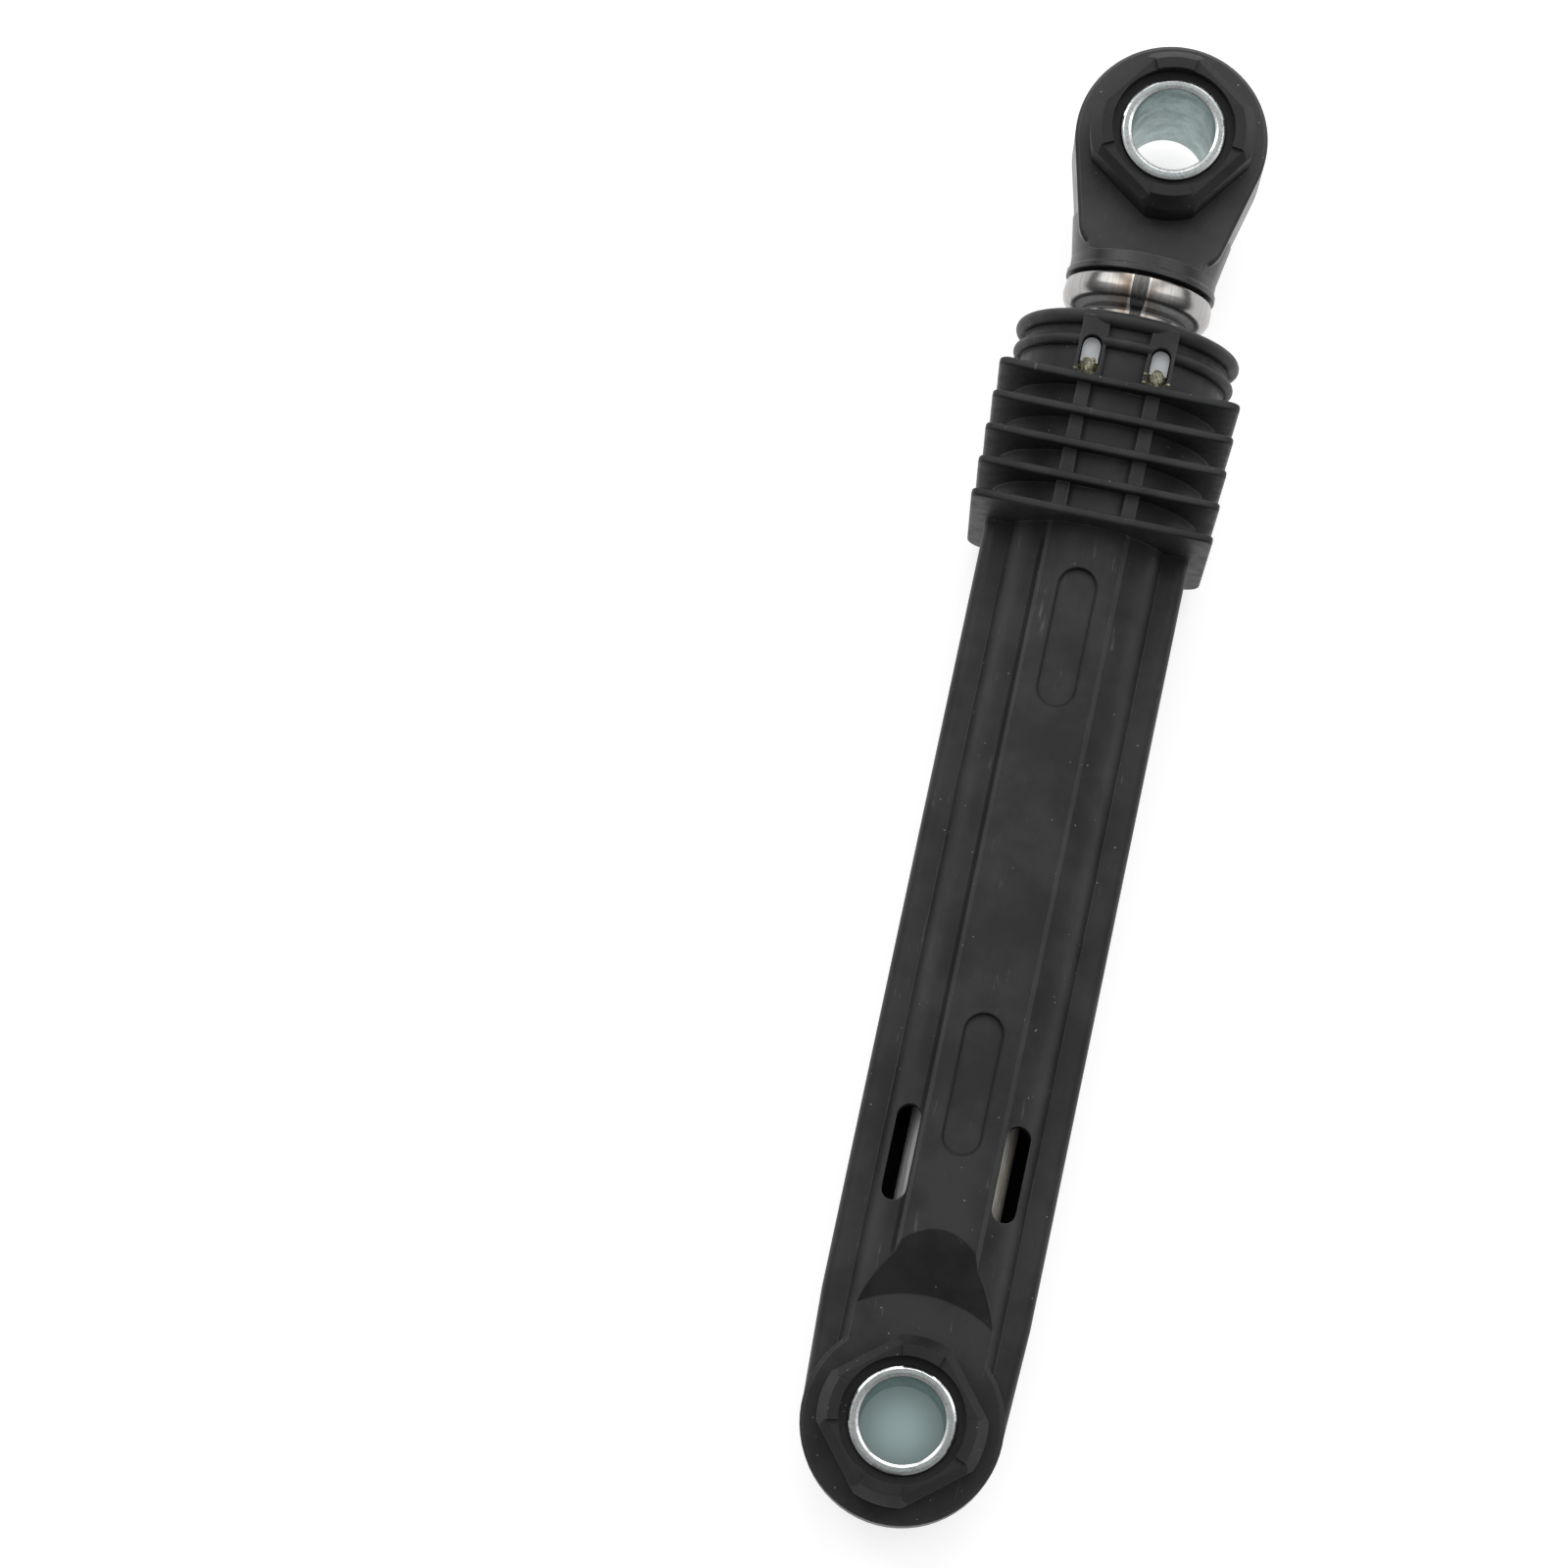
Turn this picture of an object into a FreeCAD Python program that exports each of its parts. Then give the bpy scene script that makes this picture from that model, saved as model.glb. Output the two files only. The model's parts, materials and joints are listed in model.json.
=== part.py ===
import FreeCAD, Part
import os
import re

import Sketcher

# A friction damper that stands between the tub and the base of a washing machine, lying on its
# back: the lower bore is at the origin, the rod runs along +Y and the pins run along Z.

# Driving sizes in millimetres, turns in degrees: alias, value, meaning.
SIZES = [
    ("eye_distance", "185", "lower bore to upper bore with the rod pushed home"),
    ("eye_thickness", "13", "both moulded eyes, across their flat faces"),
    ("eye_hole", "19.2", "hole in each eye for the rubber bush"),
    ("lower_eye_diameter", "28", "disc of the housing's eye"),
    ("upper_eye_diameter", "27.4", "head of the rod's eye"),
    ("upper_eye_offset", "0.5", "upper bore up to the middle of the round head"),
    ("eye_chamfer", "0.5", "edge break round both eyes"),
    ("sleeve_bore", "11.8", "steel sleeve, clear bore for the pin"),
    ("sleeve_diameter", "14.8", "steel sleeve, outside"),
    ("sleeve_length", "25", "steel sleeve, end to end"),
    ("sleeve_chamfer", "0.4", "steel sleeve, both edges of each end"),
    ("seat_clearance", "0.03", "between pieces that are pushed together"),
    ("bush_flange_diameter", "23.3", "rubber bush over its raised pads"),
    ("bush_flat_offset", "10.3", "bush axis to each of the four flats"),
    ("bush_length", "27.6", "rubber bush over its raised pads, end to end"),
    ("bush_pad_rise", "0.5", "raised pads over the flats beside them"),
    ("bush_pad_angle", "34", "each raised pad, in degrees round the bush"),
    ("bush_slope_width", "1.5", "sloping edge of the raised pads, on the radius"),
    ("bush_slope_drop", "2.2", "sloping edge of the raised pads, along the bush"),
    ("bush_flat_edge", "1.1", "sloping edge above each flat"),
    ("bush_groove_diameter", "17.3", "annular groove round the sleeve, outside"),
    ("bush_groove_depth", "2.2", "annular groove round the sleeve, from the pads"),
    ("lower_bush_turn", "-5.6", "how the lower bush was pressed in"),
    ("upper_bush_turn", "9", "how the upper bush was pressed in"),
    ("tube_diameter", "23.2", "housing tube, outside"),
    ("tube_bore", "19", "housing tube, inside"),
    ("bore_floor", "28.5", "lower bore to the end of the tube's bore"),
    ("spine_width", "12.4", "raised strip along the front and back of the tube"),
    ("spine_slope", "1", "sloping sides of that strip"),
    ("spine_rise", "0.8", "raised strip over the tube"),
    ("wing_span", "29.3", "flanges along both sides of the tube, edge to edge"),
    ("wing_thickness", "8", "flanges along both sides of the tube"),
    ("wing_round", "1.8", "long edges of the flanges"),
    ("wing_taper_start", "16", "lower bore to where the flanges narrow to the eye"),
    ("cone_radius", "17.5", "flat floor round the lower eye"),
    ("cone_slope", "1.5", "run of the cone above that floor for one of rise"),
    ("recess_width", "5.4", "shallow panels on the spine"),
    ("recess_length", "19.8", "shallow panels on the spine"),
    ("recess_depth", "0.75", "shallow panels, below the crest of the spine"),
    ("lower_recess_place", "46.7", "lower bore to the middle of the lower panel"),
    ("upper_recess_place", "110.4", "lower bore to the middle of the upper panel"),
    ("slot_width", "3.4", "slots beside the spine that show the rod"),
    ("slot_length", "13.5", "slots beside the spine"),
    ("slot_offset", "7.7", "tube axis to the middle of each slot"),
    ("slot_place", "36", "lower bore to the middle of each slot"),
    ("collar_diameter", "29.2", "head of the housing, between its fins"),
    ("collar_cavity", "25", "head of the housing, inside"),
    ("collar_top", "156.6", "lower bore to the mouth of the head"),
    ("cavity_floor", "129.2", "lower bore to the floor of the head"),
    ("rim_diameter", "32.3", "rolled rim round the mouth"),
    ("rim_thickness", "2.2", "rolled rim round the mouth"),
    ("ring_diameter", "31.8", "bead below the rim"),
    ("ring_thickness", "1.7", "bead below the rim"),
    ("ring_place", "152.2", "lower bore to the bead below the rim"),
    ("fin_count", "5", "cooling fins round the head"),
    ("fin_pitch", "4.78", "fin to fin"),
    ("first_fin", "127.1", "lower bore to the middle of the lowest fin"),
    ("fin_thickness", "1.2", "each fin"),
    ("fin_overhang", "2.4", "each fin beyond the flanges, at each side"),
    ("fin_depth", "33.6", "each fin, front to back"),
    ("fin_front_corner", "1.6", "front corners of each fin"),
    ("fin_back_corner", "4", "back corners of each fin"),
    ("fin_edge", "0.4", "rounded edge of each fin"),
    ("bar_width", "3.75", "raised bars that hold the windows"),
    ("bar_face", "15.3", "tube axis to the flat face of each bar"),
    ("window_width", "2.9", "windows for the snap lugs"),
    ("window_height", "5.9", "windows for the snap lugs"),
    ("window_offset", "4.9", "tube axis to the middle of each window"),
    ("window_place", "149.8", "lower bore to the middle of each window"),
    ("rib_width", "1.9", "upright ribs between the fins, below the windows"),
    ("rib_face", "15.2", "tube axis to the face of each rib"),
    ("guide_clearance", "0.08", "guide insert to rod, on the radius"),
    ("insert_clearance", "0.1", "guide insert to housing, on the radius"),
    ("insert_drop", "0.6", "mouth of the head down to the guide insert"),
    ("guide_land", "4", "guiding length at each end of the insert"),
    ("lug_height", "3.6", "snap lugs of the insert, seen in the windows"),
    ("lug_gap", "0.2", "snap lug to the sides and top of its window"),
    ("lug_face", "14.1", "tube axis to the face of each lug"),
    ("tongue_slit", "0.8", "slits that free each lug's tongue"),
    ("foam_diameter", "21.6", "friction foam, outside"),
    ("foam_clearance", "0.05", "friction foam to rod and insert, on the radius"),
    ("foam_seam", "0.6", "open seam of the foam strip"),
    ("rod_diameter", "15.2", "steel rod, outside"),
    ("rod_wall", "1.2", "steel rod, wall"),
    ("rod_end_gap", "0.8", "rod to the bottom of the tube's bore when pushed home"),
    ("bead_diameter", "21.3", "cup formed on the rod's upper end"),
    ("bead_drop", "20.8", "upper bore down to the cup's mouth"),
    ("bead_height", "4.7", "cup, mouth to underside"),
    ("bead_round", "2.6", "lower edge of the cup"),
    ("bead_shoulder", "0.7", "upper edge of the cup"),
    ("neck_round", "0.6", "rod into the underside of the cup"),
    ("neck_gap", "0.25", "dark seam between the cup and the moulded neck"),
    ("neck_diameter", "21", "moulded neck above the cup"),
    ("neck_lip", "0.25", "lip at the foot of the neck, on the radius"),
    ("neck_lip_height", "0.8", "lip at the foot of the neck"),
    ("neck_drop", "17.9", "upper bore down to the edge of the flat face"),
    ("neck_corner", "5", "rounded lower corners of the flat face"),
    ("shoulder_diameter", "23", "neck where it runs into the head"),
    ("shoulder_drop", "12", "upper bore down to the top of the neck's cone"),
    ("paddle_corner", "4.5", "lower corners of the head's plate"),
    ("stem_length", "24", "plug of the eye inside the rod"),
]
ALIASES = {alias for alias, value, meaning in SIZES}

# Places that several pieces share, as expressions on the sizes.
EYE_FACE = "(eye_thickness / 2)"
SLEEVE_RADIUS = "(sleeve_diameter / 2)"
ROD_RADIUS = "(rod_diameter / 2)"
ROD_INSIDE = "(rod_diameter / 2 - rod_wall)"
CREST = "(tube_diameter / 2 + spine_rise)"
SPINE_FOOT = "(0.95 * sqrt(tube_diameter ^ 2 - spine_width ^ 2) / 2)"
TOP_FIN = "(first_fin + fin_pitch * (fin_count - 1))"
CUP_INSIDE = "(bead_diameter / 2 - rod_wall - bead_shoulder / 2)"
INSERT_FOOT = "(cavity_floor + seat_clearance)"
INSERT_HEAD = "(collar_top - insert_drop)"
WINDOW_FOOT = "(window_place - window_height / 2)"
LUG_TOP = "(window_place + window_height / 2 - lug_gap)"
LUG_FOOT = "(window_place + window_height / 2 - lug_gap - lug_height)"

TURNS = {"right": 0.0, "up": 90.0, "left": 180.0, "down": 270.0}
DEGREE = 3.141592653589793 / 180
NEAR = 0.001

doc = FreeCAD.newDocument("shock_absorber")
sheet = doc.addObject("Spreadsheet::Sheet", "Sizes")
for row, (alias, value, meaning) in enumerate(SIZES, start=1):
    sheet.set("A%d" % row, meaning)
    sheet.set("B%d" % row, value)
    sheet.setAlias("B%d" % row, alias)
doc.recompute()


def on_sheet(expression):
    """Points each size named in an expression at its cell."""
    return re.sub(
        r"[a-z_]+",
        lambda word: "Sizes." + word.group() if word.group() in ALIASES else word.group(),
        expression,
    )


def number(expression):
    return float(sheet.evalExpression(on_sheet(expression)))


def bind(item, path, expression):
    item.setExpression(path, on_sheet(expression))


def new_body(label):
    return doc.addObject("PartDesign::Body", label)


def origin_feature(body, role):
    return next(item for item in body.Origin.OriginFeatures if item.Role == role)


def new_sketch(body, name, plane, height=None):
    """Adds a sketch on one of the body's own planes, raised along the plane's normal."""
    sketch = body.newObject("Sketcher::SketchObject", name)
    sketch.AttachmentSupport = [(origin_feature(body, plane), "")]
    sketch.MapMode = "FlatFace"
    if height:
        bind(sketch, "AttachmentOffset.Base.z", height)
    return sketch


def hold(sketch, kind, *where):
    """Adds a constraint whose last argument is an expression on the sizes."""
    places, expression = where[:-1], where[-1]
    index = sketch.addConstraint(Sketcher.Constraint(kind, *places, number(expression)))
    bind(sketch, "Constraints[%d]" % index, expression)


def hold_point(sketch, geometry, point, x, y):
    """Ties one point of a sketch to its coordinates."""
    for kind, expression, axis in (("DistanceX", x, -2), ("DistanceY", y, -1)):
        if expression == "0":
            sketch.addConstraint(Sketcher.Constraint("PointOnObject", geometry, point, axis))
        else:
            hold(sketch, kind, geometry, point, expression)


def add_circle(sketch, x, y, radius):
    centre = FreeCAD.Vector(number(x), number(y), 0)
    normal = FreeCAD.Vector(0, 0, 1)
    index = sketch.addGeometry(Part.Circle(centre, normal, number(radius)))
    hold_point(sketch, index, 3, x, y)
    hold(sketch, "Radius", index, radius)


def add_arc(sketch, x, y, radius, start, end):
    """Adds an arc from one angle to another, anticlockwise, with its radius tied."""
    centre = FreeCAD.Vector(number(x), number(y), 0)
    circle = Part.Circle(centre, FreeCAD.Vector(0, 0, 1), number(radius))
    index = sketch.addGeometry(Part.ArcOfCircle(circle, start * DEGREE, end * DEGREE))
    hold_point(sketch, index, 3, x, y)
    hold(sketch, "Radius", index, radius)
    return index


def add_line(sketch, start, end):
    first = FreeCAD.Vector(start[0], start[1], 0)
    last = FreeCAD.Vector(end[0], end[1], 0)
    return sketch.addGeometry(Part.LineSegment(first, last))


def join(sketch, kind, first, second):
    """Joins the end of one edge to the start of another, each given as (edge, point)."""
    sketch.addConstraint(Sketcher.Constraint(kind, *first, *second))


def add_profile(sketch, steps):
    """Closes a loop of corners (x, y) and quarter or half rounds (x, y, radius, from, to)."""
    stops = []
    for step in steps:
        if len(step) == 2:
            spot = (number(step[0]), number(step[1]))
            stops.append({"in": spot, "out": spot, "corner": step})
            continue
        x, y, radius, start, end = step
        sweep = (TURNS[end] - TURNS[start]) % 360
        first, last = (start, end) if sweep <= 180 else (end, start)
        index = add_arc(sketch, x, y, radius, TURNS[first], TURNS[first] + min(sweep, 360 - sweep))
        points = {first: 1, last: 2}
        for side, point in points.items():
            line_up = "Horizontal" if side in ("left", "right") else "Vertical"
            sketch.addConstraint(Sketcher.Constraint(line_up, index, 3, index, point))
        arc = sketch.Geometry[index]
        spots = {1: arc.StartPoint, 2: arc.EndPoint}
        stops.append({
            "in": (spots[points[start]].x, spots[points[start]].y),
            "out": (spots[points[end]].x, spots[points[end]].y),
            "arc_in": (index, points[start]),
            "arc_out": (index, points[end]),
        })
    lines = []
    for this, following in zip(stops, stops[1:] + stops[:1]):
        lines.append(add_line(sketch, this["out"], following["in"]))
    for place, stop in enumerate(stops):
        entry, leave = lines[place - 1], lines[place]
        if "corner" in stop:
            join(sketch, "Coincident", (entry, 2), (leave, 1))
            hold_point(sketch, leave, 1, *stop["corner"])
        else:
            join(sketch, "Coincident", (entry, 2), stop["arc_in"])
            join(sketch, "Coincident", stop["arc_out"], (leave, 1))


def add_rectangle(sketch, x_low, x_high, y_low, y_high):
    add_profile(sketch, [(x_low, y_low), (x_high, y_low), (x_high, y_high), (x_low, y_high)])


def add_obround(sketch, x, y, width, length):
    """Adds an upright slot with round ends."""
    radius = "(%s) / 2" % width
    reach = "((%s) - (%s)) / 2" % (length, width)
    top = add_arc(sketch, x, "(%s) + %s" % (y, reach), radius, 0, 180)
    bottom = add_arc(sketch, x, "(%s) - %s" % (y, reach), radius, 180, 360)
    ends = {}
    for name, index in (("top", top), ("bottom", bottom)):
        arc = sketch.Geometry[index]
        ends[name] = [(spot.x, spot.y) for spot in (arc.StartPoint, arc.EndPoint)]
    left = add_line(sketch, ends["top"][1], ends["bottom"][0])
    right = add_line(sketch, ends["bottom"][1], ends["top"][0])
    chain = [top, left, bottom, right]
    for this, following in zip(chain, chain[1:] + chain[:1]):
        join(sketch, "Tangent", (this, 2), (following, 1))


def pad(body, sketch, length, reverse=False, symmetric=False, kind="PartDesign::Pad"):
    feature = body.newObject(kind, sketch.Name + "_solid")
    feature.Profile = sketch
    feature.SideType = "Symmetric" if symmetric else "One side"
    feature.Reversed = reverse
    bind(feature, "Length", length)
    doc.recompute()
    return feature


def pocket(body, sketch, length, reverse=False, symmetric=False):
    """Cuts along the plane's back, or its front where reversed, and makes sure that it cuts."""
    before = body.Shape.Volume
    feature = pad(body, sketch, length, reverse, symmetric, "PartDesign::Pocket")
    if body.Shape.Volume > before - NEAR:
        raise ValueError(sketch.Name + " cuts nothing")
    return feature


def revolve(body, sketch, kind="PartDesign::Revolution", sector=None):
    """Turns a sketch round its own upright axis, fully or by half a sector to each side."""
    feature = body.newObject(kind, sketch.Name + "_turned")
    feature.Profile = sketch
    feature.ReferenceAxis = (sketch, ["V_Axis"])
    feature.Angle = 360
    if sector:
        feature.Midplane = True
        bind(feature, "Angle", sector)
    doc.recompute()
    return feature


def repeat_round(body, feature):
    """Repeats a feature at each quarter turn round the bore."""
    pattern = body.newObject("PartDesign::PolarPattern", feature.Name + "_round")
    pattern.Originals = [feature]
    pattern.Axis = (origin_feature(body, "Z_Axis"), [""])
    pattern.Angle = 360
    pattern.Occurrences = 4
    body.Tip = pattern
    doc.recompute()


def dress(body, kind, size_path, expression, chosen):
    """Rounds or chamfers the edges of the body that a test picks."""
    base = body.Tip
    names = ["Edge%d" % place for place, edge in enumerate(base.Shape.Edges, start=1) if chosen(edge)]
    if not names:
        raise ValueError(body.Label + " has no edge to break")
    feature = body.newObject(kind, base.Name + "_edges")
    feature.Base = (base, names)
    bind(feature, size_path, expression)
    doc.recompute()
    return feature


def lies_at(value, target):
    return abs(value - target) < NEAR


def make_sleeve(label, place):
    """Steel sleeve of one eye: a tube with both edges of each end broken."""
    body = new_body(label)
    sketch = new_sketch(body, label + "_section", "XZ_Plane")
    inside, outside, end = "(sleeve_bore / 2)", SLEEVE_RADIUS, "(sleeve_length / 2)"
    corners = []
    for sign, order in (("-1 * ", 1), ("", -1)):
        side = [
            (inside, sign + "(%s - sleeve_chamfer)" % end),
            (inside + " + sleeve_chamfer", sign + end),
            (outside + " - sleeve_chamfer", sign + end),
            (outside, sign + "(%s - sleeve_chamfer)" % end),
        ]
        corners += side[::order]
    add_profile(sketch, corners)
    revolve(body, sketch)
    bind(body, "Placement.Base.y", place)
    return body


def make_bush(label, place, turn):
    """Rubber bush of one eye: flanged at both ends, with four flats and four raised pads."""
    body = new_body(label)
    section = new_sketch(body, label + "_section", "XZ_Plane")
    pads = new_sketch(body, label + "_pads", "XZ_Plane")
    trim = new_sketch(body, label + "_trim", "XZ_Plane")
    inside, waist = SLEEVE_RADIUS + " + seat_clearance", "(eye_hole / 2 - seat_clearance)"
    flange, groove = "(bush_flange_diameter / 2)", "(bush_groove_diameter / 2)"
    top, face = "(bush_length / 2)", "(%s + seat_clearance)" % EYE_FACE
    step, floor = "(bush_length / 2 - bush_pad_rise)", "(bush_length / 2 - bush_groove_depth)"
    slope = [(flange, "(%s - bush_slope_drop)" % top), (flange + " - bush_slope_width", top)]
    corners = []
    for sign, order in (("-1 * ", 1), ("", -1)):
        side = [
            (inside, sign + floor), (groove, sign + floor), (groove, sign + step),
            (flange, sign + step), (flange, sign + face), (waist, sign + face),
        ]
        corners += side[::order]
        sloping = [(across, sign + along) for across, along in slope]
        add_profile(pads, [(groove, sign + face), (flange, sign + face), *sloping, (groove, sign + top)])
        add_profile(trim, [*sloping, (flange + " + bush_slope_width", sign + top)])
    add_profile(section, corners)
    revolve(body, section)

    flats = new_sketch(body, label + "_flat", "XY_Plane")
    reach = "sqrt(2) * bush_flat_offset"
    add_profile(flats, [(reach, "0"), (reach, reach), ("0", reach)])
    repeat_round(body, pocket(body, flats, "2 * bush_length", symmetric=True))
    dress(body, "PartDesign::Chamfer", "Size", "bush_flat_edge", lambda edge: (
        lies_at(abs(edge.CenterOfMass.z), number(step))
        and all(lies_at(vertex.X ** 2 + vertex.Y ** 2, number(flange) ** 2) for vertex in edge.Vertexes)
    ))
    revolve(body, trim, "PartDesign::Groove")
    repeat_round(body, revolve(body, pads, sector="bush_pad_angle"))
    bind(body, "Placement.Base.y", place)
    body.Placement.Rotation = FreeCAD.Rotation(FreeCAD.Vector(0, 0, 1), number(turn))
    bind(body, "Placement.Rotation.Angle", turn)
    return body


def add_tube(body):
    """Round tube of the housing, with a raised spine at front and back and a flange at each side."""
    reach = "first_fin"
    circle = new_sketch(body, "tube", "XZ_Plane")
    add_circle(circle, "0", "0", "tube_diameter / 2")
    pad(body, circle, reach, reverse=True)

    spine = new_sketch(body, "spine", "XZ_Plane")
    half, crest = "spine_width / 2", "(spine_width / 2 - spine_slope)"
    front = add_arc(spine, "0", "0", CREST, 65, 115)
    back = add_arc(spine, "0", "0", CREST, 245, 295)
    chain = []
    for sign, this, following, levels in (
        ("-1 * ", front, back, (SPINE_FOOT, "-1 * " + SPINE_FOOT)),
        ("", back, front, ("-1 * " + SPINE_FOOT, SPINE_FOOT)),
    ):
        start, end = spine.Geometry[this].EndPoint, spine.Geometry[following].StartPoint
        feet = [(number(sign + half), number(level)) for level in levels]
        stops = [(start.x, start.y), *feet, (end.x, end.y)]
        sides = [add_line(spine, *pair) for pair in zip(stops, stops[1:])]
        chain += [this, *sides]
        hold(spine, "DistanceX", sides[0], 1, sign + crest)
        hold(spine, "DistanceX", sides[2], 2, sign + crest)
        for point, level in enumerate(levels):
            hold_point(spine, sides[1], point + 1, sign + half, level)
    for this, following in zip(chain, chain[1:] + chain[:1]):
        join(spine, "Coincident", (this, 2), (following, 1))
    pad(body, spine, reach, reverse=True)

    wings = new_sketch(body, "wings", "XY_Plane")
    side, eye = "wing_span / 2", "lower_eye_diameter / 2"
    add_profile(wings, [
        ("-1 * " + eye, "0"), (eye, "0"),
        (side, "wing_taper_start"), (side, reach),
        ("-1 * " + side, reach), ("-1 * " + side, "wing_taper_start"),
    ])
    pad(body, wings, "wing_thickness", symmetric=True)
    low_edge = number("(lower_eye_diameter / 2 + tube_diameter / 2) / 2")
    level = number("wing_thickness / 2")
    dress(body, "PartDesign::Fillet", "Radius", "min(wing_round; wing_thickness * 0.3)", lambda edge: (
        lies_at(abs(edge.CenterOfMass.z), level)
        and abs(edge.CenterOfMass.x) > low_edge
        and edge.BoundBox.YLength > edge.BoundBox.XLength
    ))


def add_head(body):
    """Head of the housing: a round wall with a rolled rim, a bead, square fins, bars and ribs."""
    wall = new_sketch(body, "head_wall", "XZ_Plane", "-1 * (first_fin - fin_thickness / 2)")
    add_circle(wall, "0", "0", "collar_diameter / 2")
    pad(body, wall, "collar_top - first_fin + fin_thickness / 2 - rim_thickness / 2", reverse=True)
    rolls = (
        ("rim", "rim_diameter", "rim_thickness", "collar_top - rim_thickness / 2"),
        ("ring", "ring_diameter", "ring_thickness", "ring_place"),
    )
    for name, across, thickness, place in rolls:
        roll = new_sketch(body, name, "XY_Plane")
        outer = "%s / 2 - %s / 2" % (across, thickness)
        low, high = "%s - %s / 2" % (place, thickness), "%s + %s / 2" % (place, thickness)
        inner = "collar_cavity / 2 - seat_clearance"
        add_profile(roll, [
            (inner, low),
            (outer, place, thickness + " / 2", "down", "up"),
            (inner, high),
        ])
        revolve(body, roll)

    fin = new_sketch(body, "fin", "XZ_Plane", "-1 * (first_fin - fin_thickness / 2)")
    side, face = "(wing_span / 2 + fin_overhang)", "fin_depth / 2"
    front, back = "fin_front_corner", "fin_back_corner"
    add_profile(fin, [
        ("-%s + %s" % (side, back), "-%s + %s" % (face, back), back, "left", "down"),
        ("%s - %s" % (side, back), "-%s + %s" % (face, back), back, "down", "right"),
        ("%s - %s" % (side, front), "%s - %s" % (face, front), front, "right", "up"),
        ("-%s + %s" % (side, front), "%s - %s" % (face, front), front, "up", "left"),
    ])
    first = pad(body, fin, "fin_thickness", reverse=True)
    stack = body.newObject("PartDesign::LinearPattern", "fins")
    stack.Originals = [first]
    stack.Direction = (origin_feature(body, "Y_Axis"), [""])
    bind(stack, "Length", "fin_pitch * (fin_count - 1)")
    bind(stack, "Occurrences", "fin_count")
    body.Tip = stack
    doc.recompute()
    wall_radius = number("rim_diameter / 2")

    def fin_outline(edge):
        spot = edge.valueAt((edge.FirstParameter + edge.LastParameter) / 2)
        flat = edge.BoundBox.YLength < NEAR
        outside = max(abs(spot.x) - number(side), abs(spot.z) - number(face)) > -number(back)
        return flat and outside and (spot.x ** 2 + spot.z ** 2) ** 0.5 > wall_radius

    dress(body, "PartDesign::Fillet", "Radius", "min(fin_edge; fin_thickness * 0.35)", fin_outline)

    bars = new_sketch(body, "window_bars", "XY_Plane")
    ribs = new_sketch(body, "ribs", "XY_Plane")
    for sign in ("-1 * ", ""):
        middle = sign + "window_offset"
        for sketch, width, low, high in (
            (bars, "bar_width", TOP_FIN, "collar_top - rim_thickness / 2"),
            (ribs, "rib_width", "first_fin", TOP_FIN),
        ):
            add_rectangle(sketch, "%s - %s / 2" % (middle, width), "%s + %s / 2" % (middle, width), low, high)
    pad(body, bars, "2 * bar_face", symmetric=True)
    pad(body, ribs, "2 * rib_face", symmetric=True)


def cut_housing(body):
    """Bores, cone above the lower eye, windows, slots and shallow panels of the housing."""
    bores = new_sketch(body, "bores", "XY_Plane")
    bore, cavity = "tube_bore / 2", "collar_cavity / 2"
    above = "collar_top + rim_thickness"
    add_profile(bores, [
        ("0", "bore_floor"), (bore, "bore_floor"),
        (bore, "cavity_floor"), (cavity, "cavity_floor"),
        (cavity, above), ("0", above),
    ])
    revolve(body, bores, "PartDesign::Groove")

    sky = "fin_depth"
    for sign in ("", "-1 * "):
        cone = new_sketch(body, "cone", "XZ_Plane")
        add_profile(cone, [
            ("0", sign + EYE_FACE),
            ("cone_radius", sign + EYE_FACE),
            ("cone_radius + cone_slope * (%s - %s)" % (sky, EYE_FACE), sign + sky),
            ("0", sign + sky),
        ])
        revolve(body, cone, "PartDesign::Groove")

    disc = number("lower_eye_diameter / 2")
    dress(body, "PartDesign::Chamfer", "Size", "eye_chamfer", lambda edge: (
        lies_at(abs(edge.CenterOfMass.z), number(EYE_FACE))
        and hasattr(edge.Curve, "Radius")
        and lies_at(edge.Curve.Radius, disc)
    ))

    hole = new_sketch(body, "eye_hole", "XY_Plane")
    add_circle(hole, "0", "0", "eye_hole / 2")
    pocket(body, hole, "2 * sleeve_length", symmetric=True)

    windows = new_sketch(body, "windows", "XY_Plane")
    slots = new_sketch(body, "slots", "XY_Plane")
    for sign in ("-1 * ", ""):
        add_obround(windows, sign + "window_offset", "window_place", "window_width", "window_height")
        add_obround(slots, sign + "slot_offset", "slot_place", "slot_width", "slot_length")
    pocket(body, windows, "2 * fin_depth", symmetric=True)
    pocket(body, slots, "tube_diameter", reverse=True)

    for front in (True, False):
        level = "(%s - recess_depth)" % CREST
        panels = new_sketch(body, "panels", "XY_Plane", level if front else "-1 * " + level)
        for place in ("lower_recess_place", "upper_recess_place"):
            add_obround(panels, "0", place, "recess_width", "recess_length")
        pocket(body, panels, "fin_depth", reverse=front)


def make_housing():
    body = new_body("housing")
    add_tube(body)
    eye = new_sketch(body, "lower_eye", "XY_Plane")
    add_circle(eye, "0", "0", "lower_eye_diameter / 2")
    pad(body, eye, "eye_thickness", symmetric=True)
    add_head(body)
    cut_housing(body)
    return body


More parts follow.
